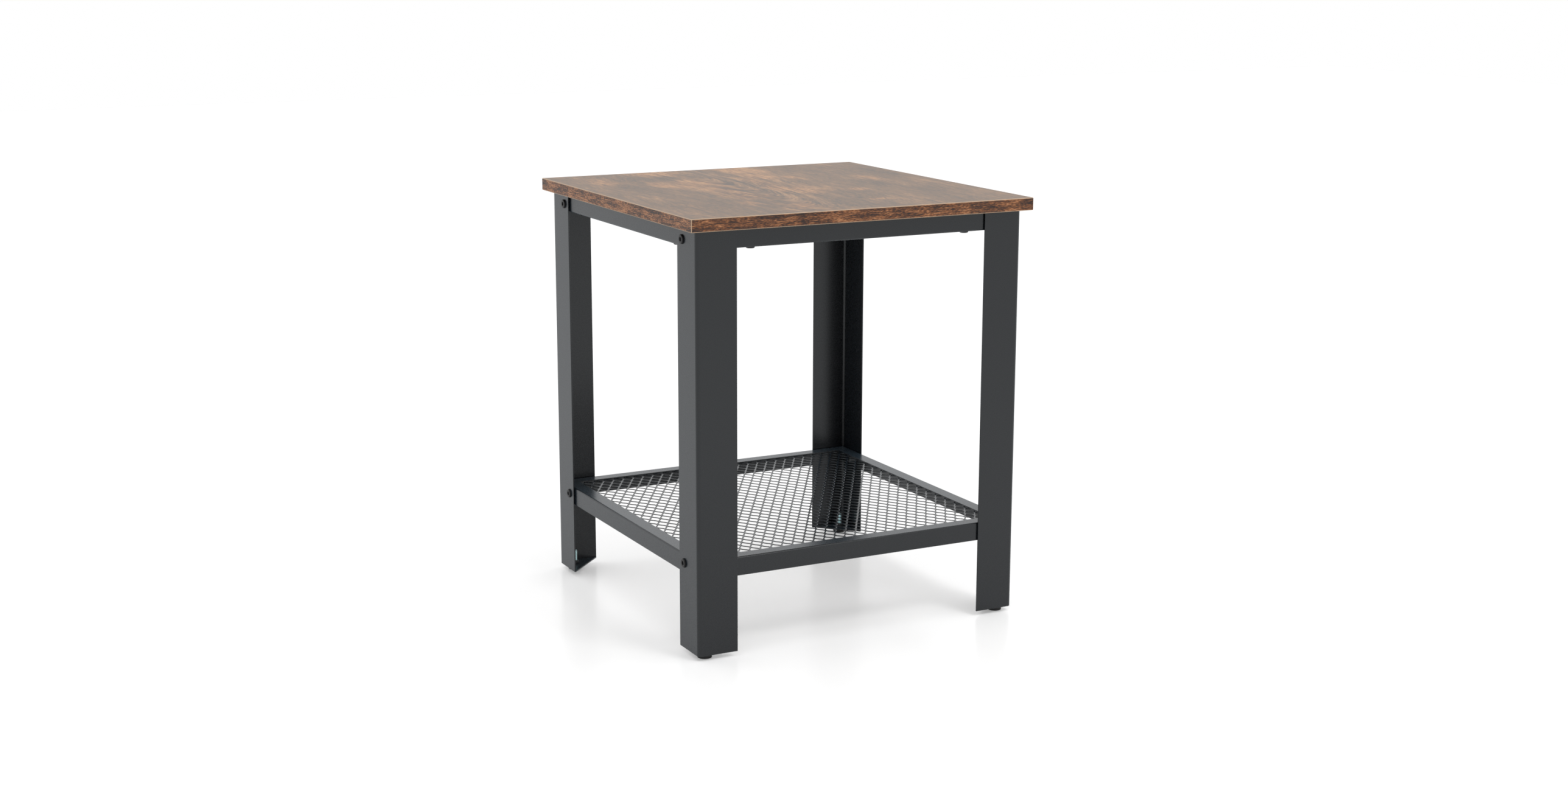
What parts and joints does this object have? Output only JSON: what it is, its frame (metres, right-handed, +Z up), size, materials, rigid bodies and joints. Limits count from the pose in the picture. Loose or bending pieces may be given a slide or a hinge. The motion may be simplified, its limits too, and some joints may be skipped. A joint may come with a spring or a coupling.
{
  "type": "end table",
  "caption": "Square end table with a wood board top on angle steel legs, an expanded metal shelf between lower rails and screw-adjustable levelling feet.",
  "frame": {"origin": "on the floor under the middle of the tabletop", "axes": "+Z up, -Y the front, +X to the right"},
  "size_m": [0.445, 0.445, 0.51],
  "materials": {
    "wood_laminate": "rustic brown wood-look laminate, satin",
    "edge_band": "wood-look edge band with bare beige edges",
    "coated_steel": "satin dark charcoal powder coat",
    "coated_mesh": "satin dark charcoal powder coat on expanded metal",
    "dark_steel": "coated weld nut",
    "black_fastener": "black oxide",
    "zinc_steel": "bright zinc plate",
    "black_plastic": "moulded matte plastic"
  },
  "bodies": {
    "table": {"tabletop_board": "wood_laminate", "edge_band_front": "edge_band", "edge_band_back": "edge_band", "edge_band_left": "edge_band", "edge_band_right": "edge_band", "leg_front_left": "coated_steel", "foot_plate_front_left": "coated_steel", "foot_nut_front_left": "dark_steel", "leg_front_right": "coated_steel", "foot_plate_front_right": "coated_steel", "foot_nut_front_right": "dark_steel", "leg_back_left": "coated_steel", "foot_plate_back_left": "coated_steel", "foot_nut_back_left": "dark_steel", "leg_back_right": "coated_steel", "foot_plate_back_right": "coated_steel", "foot_nut_back_right": "dark_steel", "upper_rail_front": "coated_steel", "upper_rail_back": "coated_steel", "upper_rail_left": "coated_steel", "upper_rail_right": "coated_steel", "lower_rail_front": "coated_steel", "lower_rail_back": "coated_steel", "lower_rail_left": "coated_steel", "lower_rail_right": "coated_steel", "mesh_panel": "coated_mesh", "upper_rivet_nuts": "zinc_steel", "lower_rivet_nuts": "zinc_steel", "upper_leg_bolts": "black_fastener", "lower_leg_bolts": "black_fastener", "board_screws": "black_fastener", "board_inserts": "zinc_steel"},
    "pad_front_left": {"foot_pad_front_left": "black_plastic"},
    "stud_front_left": {"foot_stud_front_left": "zinc_steel"},
    "pad_front_right": {"foot_pad_front_right": "black_plastic"},
    "stud_front_right": {"foot_stud_front_right": "zinc_steel"},
    "pad_back_left": {"foot_pad_back_left": "black_plastic"},
    "stud_back_left": {"foot_stud_back_left": "zinc_steel"},
    "pad_back_right": {"foot_pad_back_right": "black_plastic"},
    "stud_back_right": {"foot_stud_back_right": "zinc_steel"}
  },
  "joints": [
    {"name": "foot_height_front_left", "type": "slide", "parent": "table", "child": "pad_front_left", "axis": [0, 0, -1], "range_m": [0, 0.012]},
    {"name": "stud_turn_front_left", "type": "hinge", "parent": "pad_front_left", "child": "stud_front_left", "pos_m": [-0.1974, -0.1974, 0], "axis": [0, 0, -1], "range_deg": [0, 4325]},
    {"name": "foot_height_front_right", "type": "slide", "parent": "table", "child": "pad_front_right", "axis": [0, 0, -1], "range_m": [0, 0.012]},
    {"name": "stud_turn_front_right", "type": "hinge", "parent": "pad_front_right", "child": "stud_front_right", "pos_m": [0.1974, -0.1974, 0], "axis": [0, 0, -1], "range_deg": [0, 4325]},
    {"name": "foot_height_back_left", "type": "slide", "parent": "table", "child": "pad_back_left", "axis": [0, 0, -1], "range_m": [0, 0.012]},
    {"name": "stud_turn_back_left", "type": "hinge", "parent": "pad_back_left", "child": "stud_back_left", "pos_m": [-0.1974, 0.1974, 0], "axis": [0, 0, -1], "range_deg": [0, 4325]},
    {"name": "foot_height_back_right", "type": "slide", "parent": "table", "child": "pad_back_right", "axis": [0, 0, -1], "range_m": [0, 0.012]},
    {"name": "stud_turn_back_right", "type": "hinge", "parent": "pad_back_right", "child": "stud_back_right", "pos_m": [0.1974, 0.1974, 0], "axis": [0, 0, -1], "range_deg": [0, 4325]}
  ],
  "couplings": [
    {"joint": "stud_turn_front_left", "follows": "foot_height_front_left", "rad_per_m": 6283.2},
    {"joint": "stud_turn_front_right", "follows": "foot_height_front_right", "rad_per_m": 6283.2},
    {"joint": "stud_turn_back_left", "follows": "foot_height_back_left", "rad_per_m": 6283.2},
    {"joint": "stud_turn_back_right", "follows": "foot_height_back_right", "rad_per_m": 6283.2}
  ]
}
